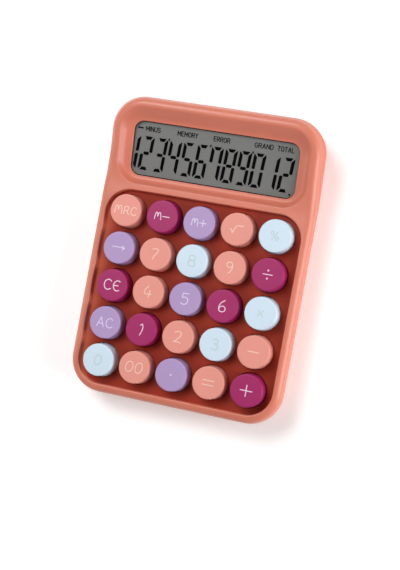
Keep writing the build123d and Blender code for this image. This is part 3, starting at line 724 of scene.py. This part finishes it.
# Strokes of each sign on a body one unit high, with its width.
SIGNS = {
    "0": (0.74, [oval(0.37, 0.5, 0.35, 0.5, 0.05)]),
    "1": (0.34, [pen((0.04, 0.86), (0.22, 1.0), (0.31, 0.72), (0.26, 0.36), (0.12, 0.0))]),
    "2": (0.72, [pen((0.04, 0.86), (0.3, 1.0), (0.62, 0.9), (0.6, 0.62), (0.3, 0.26), (0.04, 0.02)),
                 pen((0.04, 0.02), (0.36, 0.06), (0.7, 0.0))]),
    "3": (0.64, [pen((0.04, 0.9), (0.32, 1.0), (0.56, 0.84), (0.46, 0.6), (0.22, 0.53)),
                 pen((0.22, 0.53), (0.52, 0.46), (0.62, 0.22), (0.4, 0.02), (0.02, 0.06))]),
    "4": (0.72, [pen((0.36, 1.0), (0.12, 0.72), (0.03, 0.44), (0.2, 0.3), (0.7, 0.34)),
                 pen((0.52, 0.66), (0.5, 0.34), (0.46, 0.0))]),
    "5": (0.68, [pen((0.14, 0.98), (0.64, 1.0)),
                 pen((0.14, 0.98), (0.09, 0.6), (0.36, 0.66), (0.63, 0.48), (0.58, 0.14), (0.3, 0.0),
                     (0.02, 0.08))]),
    "6": (0.66, [pen((0.5, 1.0), (0.2, 0.76), (0.04, 0.38), (0.12, 0.08), (0.36, 0.0), (0.6, 0.12),
                     (0.6, 0.38), (0.38, 0.5), (0.14, 0.38), (0.06, 0.22))]),
    "7": (0.62, [pen((0.0, 0.94), (0.32, 1.0), (0.58, 0.94), (0.5, 0.62), (0.26, 0.32), (0.16, 0.0))]),
    "8": (0.66, [pen((0.33, 1.0), (0.1, 0.94), (0.08, 0.62), (0.33, 0.54), (0.58, 0.62), (0.56, 0.94),
                     closed=True),
                 pen((0.33, 0.54), (0.06, 0.46), (0.05, 0.08), (0.33, 0.0), (0.61, 0.08), (0.6, 0.46),
                     closed=True)]),
    "9": (0.64, [pen((0.58, 0.76), (0.44, 0.98), (0.16, 0.96), (0.04, 0.74), (0.18, 0.54), (0.44, 0.56),
                     closed=True),
                 pen((0.58, 0.8), (0.58, 0.46), (0.44, 0.16), (0.28, 0.0))]),
    "A": (0.8, [pen((0.02, 0.0), (0.4, 1.0)), pen((0.4, 1.0), (0.78, 0.0)),
                pen((0.16, 0.34), (0.64, 0.34))]),
    "C": (0.76, [pen((0.74, 0.86), (0.46, 1.0), (0.14, 0.84), (0.03, 0.48), (0.16, 0.12), (0.46, 0.0),
                     (0.76, 0.14))]),
    "E": (0.68, [pen((0.66, 0.94), (0.38, 1.0), (0.12, 0.8), (0.04, 0.48), (0.14, 0.16), (0.4, 0.0),
                     (0.68, 0.08)),
                 pen((0.05, 0.5), (0.52, 0.52))]),
    "M": (1.0, [pen((0.03, 0.0), (0.06, 0.5), (0.16, 0.94), (0.34, 0.92), (0.48, 0.42)),
                pen((0.48, 0.42), (0.58, 0.92), (0.8, 0.94), (0.92, 0.5), (0.97, 0.0))]),
    "R": (0.74, [pen((0.05, 0.0), (0.08, 0.96)), pen((0.08, 0.96), (0.44, 1.0), (0.64, 0.76), (0.44, 0.5),
                                                     (0.08, 0.48)),
                 pen((0.36, 0.48), (0.72, 0.0))]),
    "+": (1.0, [pen((0.0, 0.5), (1.0, 0.5)), pen((0.5, 0.04), (0.5, 0.96))]),
    "-": (1.0, [pen((0.0, 0.5), (1.0, 0.5))]),
    "=": (1.0, [pen((0.0, 0.7), (1.0, 0.7)), pen((0.0, 0.3), (1.0, 0.3))]),
    "x": (0.9, [pen((0.1, 0.1), (0.8, 0.9)), pen((0.1, 0.9), (0.8, 0.1))]),
    "/": (1.0, [pen((0.0, 0.5), (1.0, 0.5)), oval(0.5, 0.92, 0.05, 0.05), oval(0.5, 0.08, 0.05, 0.05)]),
    ".": (0.3, [pen((0.1, 0.5), (0.2, 0.5))]),
    "%": (1.0, [pen((0.2, 0.0), (0.8, 1.0)), oval(0.2, 0.78, 0.17, 0.2), oval(0.8, 0.22, 0.17, 0.2)]),
    "root": (1.8, [pen((0.0, 0.42), (0.22, 0.36), (0.4, 0.0), (0.62, 0.5), (0.9, 0.94), (1.3, 1.0),
                       (1.8, 1.0))]),
    "arrow": (2.6, [pen((0.0, 0.56), (1.3, 0.6), (2.5, 0.5)), pen((2.0, 0.9), (2.3, 0.7), (2.55, 0.5)),
                    pen((2.55, 0.5), (2.3, 0.36), (2.1, 0.14))]),
}
# Signs, height of the body in millimetres, and share of the usual ink width for each key.
LEGENDS = {
    "key_0": ("0", 5.0, 1.0), "key_00": ("00", 5.2, 1.0), "key_point": (".", 2.0, 1.9),
    "key_equals": ("=", 5.6, 1.0), "key_plus": ("+", 5.8, 1.1), "key_ac": ("AC", 4.6, 1.0),
    "key_1": ("1", 5.4, 1.1), "key_2": ("2", 5.4, 1.0), "key_3": ("3", 5.2, 1.0),
    "key_minus": ("-", 5.4, 1.0),
    "key_ce": ("CE", 5.0, 1.15), "key_4": ("4", 5.6, 1.0), "key_5": ("5", 5.4, 1.1), "key_6": ("6", 5.6, 1.1),
    "key_multiply": ("x", 3.8, 1.0), "key_backspace": (("arrow",), 2.5, 1.0), "key_7": ("7", 5.2, 1.0),
    "key_8": ("8", 5.2, 1.1), "key_9": ("9", 5.4, 1.0), "key_divide": ("/", 4.6, 1.0),
    "key_memory_recall": ("MRC", 3.9, 0.95), "key_memory_minus": ("M-", 3.4, 1.0),
    "key_memory_plus": ("M+", 3.4, 1.0), "key_root": (("root",), 3.6, 1.0), "key_percent": ("%", 4.2, 1.0),
}
SIGN_GAP = 0.2
INKS = {
    "peach": moulded_plastic("ink cream", as_linear(243, 203, 190), 0.5, 0.0002, 0.00001, 0.02),
    "magenta": moulded_plastic("ink pink", as_linear(240, 208, 226), 0.5, 0.0002, 0.00001, 0.02),
    "lilac": moulded_plastic("ink lilac", as_linear(222, 208, 236), 0.5, 0.0002, 0.00001, 0.02),
    "blue": moulded_plastic("ink grey", as_linear(186, 206, 206), 0.5, 0.0002, 0.00001, 0.02),
}


def round_end(tip, side, half_width, steps=6):
    """Half circle about a stroke's end, clockwise from the given side."""
    start = math.atan2(side.y, side.x)
    turns = [start - math.pi * n / steps for n in range(1, steps)]
    return [tip + half_width * Vector((math.cos(turn), math.sin(turn))) for turn in turns]


def stroke_outline(track, half_width):
    """Closed outline of a round-ended stroke along a track."""
    tangents = []
    for n in range(len(track)):
        before, after = track[max(0, n - 1)], track[min(len(track) - 1, n + 1)]
        tangents.append((after - before).normalized())
    sides = [Vector((-t.y, t.x)) for t in tangents]
    outline = [p + s * half_width for p, s in zip(track, sides)]
    outline += round_end(track[-1], sides[-1], half_width)
    outline += [p - s * half_width for p, s in reversed(list(zip(track, sides)))]
    outline += round_end(track[0], -sides[0], half_width)
    return outline


def ink_plate(tracks, half_width, low, high, place):
    """Thin closed plate covering every stroke, merged where strokes cross."""
    inside = 0.995  # share of the half width that a triangle's middle must lie within
    flat, edges = [], []
    for track in tracks:
        outline = stroke_outline(track, half_width)
        start = len(flat)
        flat += outline
        edges += [(start + n, start + (n + 1) % len(outline)) for n in range(len(outline))]
    points, _, triangles, _, _, _ = delaunay_2d_cdt(flat, edges, [], 0, 1e-4)
    starts = np.array([tuple(a) for track in tracks for a in track[:-1]])
    ends = np.array([tuple(b) for track in tracks for b in track[1:]])
    middles = np.array([[sum(points[i][axis] for i in t) / 3 for axis in (0, 1)] for t in triangles])
    run = ends - starts
    share = ((middles[:, None] - starts) * run).sum(axis=2) / np.maximum((run**2).sum(axis=1), 1e-12)
    nearest = starts + np.clip(share, 0, 1)[..., None] * run
    reach = np.sqrt(((middles[:, None] - nearest) ** 2).sum(axis=2)).min(axis=1)
    kept = [tuple(t) for t, r in zip(triangles, reach) if r < half_width * inside]
    used = dict.fromkeys(pair for triangle in kept for pair in zip(triangle, triangle[1:] + triangle[:1]))
    rims = [(a, b) for a, b in used if (b, a) not in used]
    count = len(points)
    solid_points = [place(p[0], p[1], level) for level in (high, low) for p in points]
    faces = kept + [tuple(i + count for i in reversed(t)) for t in kept]
    faces += [(b, a, a + count, b + count) for a, b in rims]
    return solid_points, faces


def plain_mesh(name, parts):
    """One welded mesh in metres from several point and face lists."""
    mesh = bpy.data.meshes.new(name)
    points, faces = [], []
    for part_points, part_faces in parts:
        faces += [tuple(i + len(points) for i in face) for face in part_faces]
        points += part_points
    mesh.from_pydata([tuple(c * MM for c in p) for p in points], [], faces)
    work = bmesh.new()
    work.from_mesh(mesh)
    bmesh.ops.remove_doubles(work, verts=work.verts, dist=1e-6)
    bmesh.ops.delete(work, geom=[v for v in work.verts if not v.link_faces], context="VERTS")
    bmesh.ops.recalc_face_normals(work, faces=work.faces)
    work.to_mesh(mesh)
    work.free()
    return mesh


for row, line in enumerate(KEYS):
    for column, (node, shade) in enumerate(line):
        signs, size, weight = LEGENDS[node]
        width = sum(SIGNS[sign][0] for sign in signs) + SIGN_GAP * (len(signs) - 1)
        x, y = key_places[row * 5 + column]
        pen_x = x - width * size / 2
        tracks = []
        for sign in signs:
            advance, strokes = SIGNS[sign]
            for stroke in strokes:
                tracks.append([Vector((pen_x + p.x * size, y + (p.y - 0.5) * size)) for p in stroke])
            pen_x += (advance + SIGN_GAP) * size
        plate = ink_plate(
            tracks, INK_HALF_WIDTH * weight, KEY_TOP - INK_SUNK, KEY_TOP + INK_THICKNESS,
            lambda a, b, c: (a, b, c),
        )
        ink_mesh = plain_mesh("legend", [plate])
        legend = finish_object(f"legend_{node[4:]}", ink_mesh, INKS[shade], 30.0, False)
        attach(legend, node)

# ------------------------------------------------------------------ display glass and its figures
# A reflective liquid crystal panel: grey glass with a fine brushed polariser, and near-black
# figures of seven slanted bars under plain words. A clear flat lens lies over it in the window.
MARK_LOW = 0.82  # above the head's seam plane, just clear of the glass
MARK_HIGH = 0.87
BAR = 1.62
BAR_MITRE = 1.2  # how far the flat bars are cut in on their inner side
BAR_TIP = 0.35
MIDDLE_TIP = 0.65
FIGURE_WIDTH = 4.5
FIGURE_HALF = 7.6
FIGURE_PITCH = 7.18
FIGURE_MIDDLE = 12.7
FIRST_FIGURE = -42.55
FIGURE_LEAN = math.tan(math.radians(5.0))
FIGURES = "123456789012"
GROUP_ENDS = (2, 5, 8)  # figures with a thousands tick after them
TICK_AFTER = 1.5
TICK_LOW = 20.5
TICK_HIGH = 21.6
MINUS_BAR = ((-41.0, 24.55), (-38.2, 24.55), (-38.2, 25.3), (-41.0, 25.3))
# near-black band of painted shade round the glass, standing for the shadow of the window's wall
SHADE_BAND_OUTSIDE = (43.3, 0.9, 29.2, 5.2)  # half width, front, rear and corner
SHADE_BAND_INSIDE = (42.15, 1.8, 28.2, 4.6)
SHADE_BAND_SHIFT = 0.25
FIGURE_BARS = {
    "0": "abcdef", "1": "bc", "2": "abged", "3": "abgcd", "4": "fgbc", "5": "afgcd", "6": "afgedc",
    "7": "fabc", "8": "abcdefg", "9": "abcdfg",
}


def on_head(x, along, height):
    """Point above the head's seam plane."""
    return (
        x,
        HEAD_START + along * math.cos(HEAD_TILT) - height * math.sin(HEAD_TILT),
        SEAM_HEIGHT + along * math.sin(HEAD_TILT) + height * math.cos(HEAD_TILT),
    )


def bar_outline(bar):
    """Outline of one bar about the figure's middle: trapezia, a hexagon and cut uprights."""
    half, side, reach = BAR / 2, FIGURE_WIDTH / 2, FIGURE_HALF
    flat = [(-side + BAR_TIP, reach + half), (side - BAR_TIP, reach + half), (side - BAR_MITRE, reach - half),
            (-side + BAR_MITRE, reach - half)]
    upright = [(side - half, reach - 1.25), (side - half, 0.8), (side, 0.4), (side + half, 0.8),
               (side + half, reach - 0.1), (side + half - 0.25, reach + 0.45)]
    middle = [(-side + MIDDLE_TIP, 0), (-side + BAR_MITRE, half), (side - BAR_MITRE, half),
              (side - MIDDLE_TIP, 0), (side - BAR_MITRE, -half), (-side + BAR_MITRE, -half)]
    return {
        "a": flat,
        "b": upright,
        "c": [(x, -y) for x, y in upright],
        "d": [(x, -y) for x, y in flat],
        "e": [(-x, -y) for x, y in upright],
        "f": [(-x, y) for x, y in upright],
        "g": middle,
    }[bar]


def mark(outline):
    """Thin closed plate from an outline on the display."""
    count = len(outline)
    points = [on_head(x, y, level) for level in (MARK_HIGH, MARK_LOW) for x, y in outline]
    faces = [tuple(range(count)), tuple(range(2 * count - 1, count - 1, -1))]
    faces += [((n + 1) % count, n, n + count, (n + 1) % count + count) for n in range(count)]
    return points, faces


marks = []
for place, figure in enumerate(FIGURES):
    centre = FIRST_FIGURE + FIGURE_PITCH * place
    for bar in FIGURE_BARS[figure]:
        outline = bar_outline(bar)
        marks.append(mark([(centre + x + y * FIGURE_LEAN, FIGURE_MIDDLE + y) for x, y in outline]))
    if place in GROUP_ENDS:
        tick = centre + FIGURE_WIDTH / 2 + TICK_AFTER
        top_edge = [(tick, TICK_HIGH), (tick + 0.75, TICK_HIGH)]
        marks.append(mark(top_edge + [(tick + 0.5, TICK_LOW), (tick - 0.1, TICK_LOW)]))
point = FIRST_FIGURE + FIGURE_PITCH * 11 + FIGURE_WIDTH / 2 + 0.3
marks.append(mark([(point, 3.2), (point + 0.9, 3.2), (point + 0.95, 4.1), (point + 0.05, 4.1)]))
marks.append(mark(MINUS_BAR))
# painted shade: a near-black band round the edge of the glass, set a little to the left, standing for the
# shadow of the window's wall
border = (
    (SHADE_BAND_OUTSIDE, MARK_HIGH), (SHADE_BAND_INSIDE, MARK_HIGH), (SHADE_BAND_INSIDE, MARK_LOW),
    (SHADE_BAND_OUTSIDE, MARK_LOW),
)
rings = [
    [on_head(x - SHADE_BAND_SHIFT, y, level) for x, y in rounded_loop(*edge)] for edge, level in border
]
count = len(rings[0])
marks.append(
    (
        [point for ring in rings for point in ring],
        [
            (a * count + n, a * count + (n + 1) % count, b * count + (n + 1) % count, b * count + n)
            for a, b in ((0, 1), (1, 2), (2, 3), (3, 0))
            for n in range(count)
        ],
    )
)
# plain words above the figures
WORD_LOW = 23.75
WORD_HIGH = 25.95
WORD_INK = 0.18  # half width of a letter's line
LETTER_GAP = 0.24
# width and lines of each capital on a body one unit high
CAPITALS = {
    "A": (0.6, [[(0, 0), (0.3, 1), (0.6, 0)], [(0.12, 0.34), (0.48, 0.34)]]),
    "D": (0.54, [[(0, 0), (0, 1), (0.34, 1), (0.54, 0.78), (0.54, 0.22), (0.34, 0), (0, 0)]]),
    "E": (0.48, [[(0.48, 1), (0, 1), (0, 0), (0.48, 0)], [(0, 0.52), (0.42, 0.52)]]),
    "G": (0.58, [[(0.56, 0.8), (0.4, 1), (0.2, 1), (0, 0.76), (0, 0.24), (0.2, 0), (0.4, 0), (0.58, 0.2),
                  (0.58, 0.46), (0.34, 0.46)]]),
    "I": (0.0, [[(0, 0), (0, 1)]]),
    "L": (0.44, [[(0, 1), (0, 0), (0.44, 0)]]),
    "M": (0.7, [[(0, 0), (0, 1), (0.35, 0.3), (0.7, 1), (0.7, 0)]]),
    "N": (0.56, [[(0, 0), (0, 1), (0.56, 0), (0.56, 1)]]),
    "O": (0.58, [[(0.2, 0), (0, 0.24), (0, 0.76), (0.2, 1), (0.38, 1), (0.58, 0.76), (0.58, 0.24), (0.38, 0),
                  (0.2, 0)]]),
    "R": (0.54, [[(0, 0), (0, 1), (0.36, 1), (0.52, 0.86), (0.52, 0.62), (0.36, 0.48), (0, 0.48)],
                 [(0.3, 0.48), (0.54, 0)]]),
    "S": (0.52, [[(0.5, 0.84), (0.36, 1), (0.16, 1), (0.02, 0.86), (0.02, 0.66), (0.16, 0.54), (0.36, 0.48),
                  (0.51, 0.34), (0.51, 0.14), (0.36, 0), (0.16, 0), (0, 0.16)]]),
    "T": (0.56, [[(0, 1), (0.56, 1)], [(0.28, 1), (0.28, 0)]]),
    "U": (0.54, [[(0, 1), (0, 0.22), (0.18, 0), (0.36, 0), (0.54, 0.22), (0.54, 1)]]),
    "Y": (0.56, [[(0, 1), (0.28, 0.5), (0.56, 1)], [(0.28, 0.5), (0.28, 0)]]),
}
for word, left, right in (
    ("MINUS", -36.7, -29.3), ("MEMORY", -20.1, -9.8), ("ERROR", -1.4, 6.7), ("GRAND", 19.4, 28.5),
    ("TOTAL", 30.8, 38.9),
):
    body = sum(CAPITALS[letter][0] for letter in word) + LETTER_GAP * (len(word) - 1)
    stretch = (right - left) / body
    pen_x = left
    tracks = []
    for letter in word:
        advance, lines = CAPITALS[letter]
        for line in lines:
            tall = WORD_HIGH - WORD_LOW
            spots = [Vector((pen_x + x * stretch, WORD_LOW + y * tall)) for x, y in line]
            tracks += [[a, b] for a, b in zip(spots, spots[1:])]
        pen_x += (advance + LETTER_GAP) * stretch
    marks.append(ink_plate(tracks, WORD_INK, MARK_LOW, MARK_HIGH, on_head))
# one near-black for the printed figures and words and for the painted shade band round the glass
figure_and_shade_black = moulded_plastic("figure black and painted shade", as_linear(8, 8, 8), 0.6, 0.0004, 0.00001, 0.05, ior=1.05)
figures = finish_object("lcd_figures_and_painted_shade", plain_mesh("figures", marks), figure_and_shade_black, 30.0, False)
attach(figures, "case")

dress("lcd_panel", moulded_plastic("lcd grey", as_linear(126, 127, 124), 0.5, 0.0005, 0.00001, 0.03))

# clear acrylic: nearly invisible, with a hard gloss and faint dust
LENS_ALPHA = 0.03
clear_lens = moulded_plastic("clear lens", as_linear(30, 31, 31), 0.12, 0.0008, 0.000004, 0.02, ior=1.49)
clear_lens.node_tree.nodes["Principled BSDF"].inputs["Alpha"].default_value = LENS_ALPHA
dress("display_lens", clear_lens)

# ------------------------------------------------------------------ display holder and what backs it
# A black moulded tray with four screwed ears holds the panel over a white reflector, and an
# amber flexible ribbon brings its signals from the board.
dress("lcd_holder", moulded_plastic("holder black", as_linear(30, 30, 32), 0.55, 0.0004, 0.00004, 0.06))
reflector_white = moulded_plastic("reflector white", as_linear(232, 232, 226), 0.6, 0.0006, 0.00002, 0.03)
dress("lcd_reflector", reflector_white)
dress("lcd_ribbon", moulded_plastic("ribbon amber", as_linear(186, 112, 34), 0.35, 0.0005, 0.00002, 0.12))

# ------------------------------------------------------------------ board and small parts
# Green laminate screwed to its bosses, with a black blob of epoxy over the chip and a few small
# ceramic components soldered on.
dress("main_board", moulded_plastic("board green", as_linear(38, 96, 58), 0.4, 0.0007, 0.00004, 0.15))
dress("controller_chip", moulded_plastic("chip epoxy", as_linear(18, 18, 20), 0.3, 0.0009, 0.00006, 0.1))
component_body = moulded_plastic("component body", as_linear(150, 132, 104), 0.5, 0.0006, 0.00003, 0.1)
dress("board_components", component_body)

# ------------------------------------------------------------------ dome mat and carbon pills
# One silicone moulding lies on the board, with a carbon pill bonded inside every dome. Its sheet is
# cut clear of the domes here, and each dome and each pill is turned as a piece of its own.
MAT_BOTTOM = 9.1
DOME_CUT = 5.85  # radius cut out of the sheet round each dome
CUT_LENGTH = 12
CUT_MIDDLE = 1.0  # above the sheet's underside
SOFT_TURNS = 48
DOME_SECTION = (
    (0.0, 13.7), (2.1, 13.7), (2.4, 13.58), (2.48, 13.3), (2.6, 12.8), (5.5, 10.1), (5.8, 9.1), (5.0, 9.1),
    (4.9, 9.9), (2.1, 12.3), (1.8, 12.02), (0.0, 12.02),
)
PILL_SECTION = ((0.0, 12.0), (1.55, 12.0), (1.7, 11.9), (1.7, 11.6), (0.0, 11.6))
mat_rubber = moulded_plastic("mat rubber", as_linear(196, 192, 186), 0.7, 0.0007, 0.00005, 0.05)
sheet_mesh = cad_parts["dome_mat"].data.copy()
sheet = bpy.data.objects.new("mat blank", sheet_mesh)
bpy.context.scene.collection.objects.link(sheet)
plug_mesh = bpy.data.meshes.new("plugs")
work = bmesh.new()
for x, y in key_places:
    bmesh.ops.create_cone(
        work, cap_ends=True, segments=64, radius1=DOME_CUT * MM, radius2=DOME_CUT * MM,
        depth=CUT_LENGTH * MM, matrix=Matrix.Translation((x * MM, y * MM, (MAT_BOTTOM + CUT_MIDDLE) * MM)),
    )
work.to_mesh(plug_mesh)
work.free()
plugs = bpy.data.objects.new("plugs", plug_mesh)
bpy.context.scene.collection.objects.link(plugs)
cut = sheet.modifiers.new("cut", "BOOLEAN")
cut.operation = "DIFFERENCE"
cut.solver = "EXACT"
cut.object = plugs
flat_mesh = bpy.data.meshes.new_from_object(sheet.evaluated_get(bpy.context.evaluated_depsgraph_get()))
bpy.data.objects.remove(sheet)
bpy.data.objects.remove(plugs)
work = bmesh.new()
work.from_mesh(flat_mesh)
bmesh.ops.remove_doubles(work, verts=work.verts, dist=1e-6)
work.to_mesh(flat_mesh)
work.free()
mat = finish_object("mat_sheet", flat_mesh, mat_rubber, 35.0, False)
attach(mat, "case")
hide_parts("dome_mat")
carbon = moulded_plastic("carbon", as_linear(28, 28, 28), 0.85, 0.0003, 0.00005, 0.15)
plain_lathe = lathe_tree(())
soft_parts = (
    ("dome", section_wire(DOME_SECTION), mat_rubber, "dome_mat", "mat_silicone"),
    ("pill", section_wire(PILL_SECTION), carbon, "contact_pills", "pill_carbon"),
)
for row, line in enumerate(KEYS):
    for column, (node, _) in enumerate(line):
        x, y = key_places[row * 5 + column]
        for kind, wire, rubber, replaced, finish in soft_parts:
            mesh = turned(wire, plain_lathe, x, y, SOFT_TURNS, rubber)
            part = finish_object(f"{kind}_{node[4:]}", mesh, rubber, 35.0, False)
            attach(part, "case")
            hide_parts(replaced)
            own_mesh(part)

# ------------------------------------------------------------------ screws, battery and its contacts
# Zinc plated cross-recessed screws hold the board, the covers and the display tray. The cell has a
# printed wrapper, and its contacts and spring are nickel plated.


def plated_metal(name, colour, roughness, streak):
    """Plated metal with drawn streaks and dulled patches."""
    material = moulded_plastic(name, colour, roughness, streak, 0.00002, 0.1)
    material.node_tree.nodes["Principled BSDF"].inputs["Metallic"].default_value = 1.0
    return material


zinc = plated_metal("screw zinc", as_linear(176, 178, 182), 0.32, 0.0004)
nickel = plated_metal("contact nickel", as_linear(196, 188, 172), 0.28, 0.0005)
for node in ("board_screws", "case_screws", "lcd_screws"):
    dress(node, zinc)
for node in ("battery_contact_positive", "battery_contact_negative", "battery_spring"):
    dress(node, nickel)
dress("battery", moulded_plastic("battery wrapper", as_linear(44, 62, 104), 0.35, 0.0006, 0.00002, 0.2))

# ------------------------------------------------------------------ floor, lights and camera
# A white sheet under the calculator, one large lamp overhead, one from the right and a weak one from
# the left, and a long lens looking down from above and to the right.
FLOOR_SIZE = 3.0  # metres
FLOOR_DROP = 0.1  # clear of the flat undersides of the feet
LAMPS_REACH = 0.25  # metres from the middle, beyond which the floor's own glow grows
GLOW_FULL = 1.1
GLOW_NEAR = 0.22
GLOW_FAR = 0.85
WALL_LIGHT = 0.85  # brightness of the studio's walls, at the horizon
CEILING_LIGHT = 0.16
CEILING_STARTS = 0.35  # upward share of the direction
floor_mesh = bpy.data.meshes.new("floor")
half = FLOOR_SIZE / 2
low = -FLOOR_DROP * MM
corners = [(-half, -half, low), (half, -half, low), (half, half, low), (-half, half, low)]
floor_mesh.from_pydata(corners, [], [(0, 1, 2, 3)])
floor = bpy.data.objects.new("floor", floor_mesh)
bpy.context.scene.collection.objects.link(floor)
floor_white = moulded_plastic("floor white", as_linear(250, 250, 250), 0.8, 0.002, 0.00001, 0.003)
glow, glow_links = floor_white.node_tree.nodes, floor_white.node_tree.links
glow["Principled BSDF"].inputs["Emission Color"].default_value = (1.0, 1.0, 1.0, 1.0)
floor_place = glow.new("ShaderNodeTexCoord")
distance = glow.new("ShaderNodeVectorMath")
distance.operation = "LENGTH"
glow_links.new(floor_place.outputs["Object"], distance.inputs[0])
spread = glow.new("ShaderNodeMapRange")  # the sheet stays white beyond the reach of the lamps
spread.inputs["From Min"].default_value = LAMPS_REACH
spread.inputs["From Max"].default_value = GLOW_FULL
spread.inputs["To Min"].default_value = GLOW_NEAR
spread.inputs["To Max"].default_value = GLOW_FAR
glow_links.new(distance.outputs["Value"], spread.inputs["Value"])
glow_links.new(spread.outputs["Result"], glow["Principled BSDF"].inputs["Emission Strength"])
floor_mesh.materials.append(floor_white)


def soft_light(name, place, target, size, power):
    """Large rectangular lamp facing a point."""
    lamp = bpy.data.lights.new(name, "AREA")
    lamp.shape = "RECTANGLE"
    lamp.size, lamp.size_y = size
    lamp.energy = power
    holder = bpy.data.objects.new(name, lamp)
    holder.location = place
    holder.rotation_euler = (Vector(target) - Vector(place)).to_track_quat("-Z", "Y").to_euler()
    bpy.context.scene.collection.objects.link(holder)


soft_light("main light", (-0.3, 0.4, 0.85), (0, 0, 0.02), (0.5, 0.5), 6.2)
soft_light("right light", (0.75, -0.05, 0.28), (0.05, 0, 0.02), (0.35, 0.7), 5.2)
soft_light("left light", (-0.62, -0.05, 0.26), (-0.05, 0, 0.02), (0.12, 0.8), 0.8)
world = bpy.data.worlds.new("studio")
world.use_nodes = True
studio, wires = world.node_tree.nodes, world.node_tree.links
studio["Background"].inputs["Color"].default_value = (1.0, 1.0, 1.0, 1.0)
direction = studio.new("ShaderNodeTexCoord")
axes = studio.new("ShaderNodeSeparateXYZ")
wires.new(direction.outputs["Generated"], axes.inputs["Vector"])
ceiling = studio.new("ShaderNodeMapRange")  # bright walls all round and a dimmer ceiling
ceiling.inputs["From Min"].default_value = 0.0
ceiling.inputs["From Max"].default_value = CEILING_STARTS
ceiling.inputs["To Min"].default_value = WALL_LIGHT
ceiling.inputs["To Max"].default_value = CEILING_LIGHT
wires.new(axes.outputs["Z"], ceiling.inputs["Value"])
wires.new(ceiling.outputs["Result"], studio["Background"].inputs["Strength"])
bpy.context.scene.world = world
bpy.context.scene.view_settings.view_transform = "Standard"

LENS_LENGTH = 76.64  # millimetres
SENSOR_WIDTH = 36.0
CAMERA_PLACE = Vector((0.16685, -0.01003, 0.58693))
CAMERA_AIM = Vector((0.00625, -0.01237, 0.025))
CAMERA_UP = Vector((-0.17687, 0.98314, 0.04646))
camera = bpy.data.cameras.new("camera")
camera.sensor_width = SENSOR_WIDTH
camera.lens = LENS_LENGTH
view = bpy.data.objects.new("camera", camera)
forward = (CAMERA_AIM - CAMERA_PLACE).normalized()
right = forward.cross(CAMERA_UP).normalized()
up = right.cross(forward)
turn = Matrix((right, up, -forward)).transposed().to_4x4()
view.matrix_world = Matrix.Translation(CAMERA_PLACE) @ turn
bpy.context.scene.collection.objects.link(view)
bpy.context.scene.camera = view
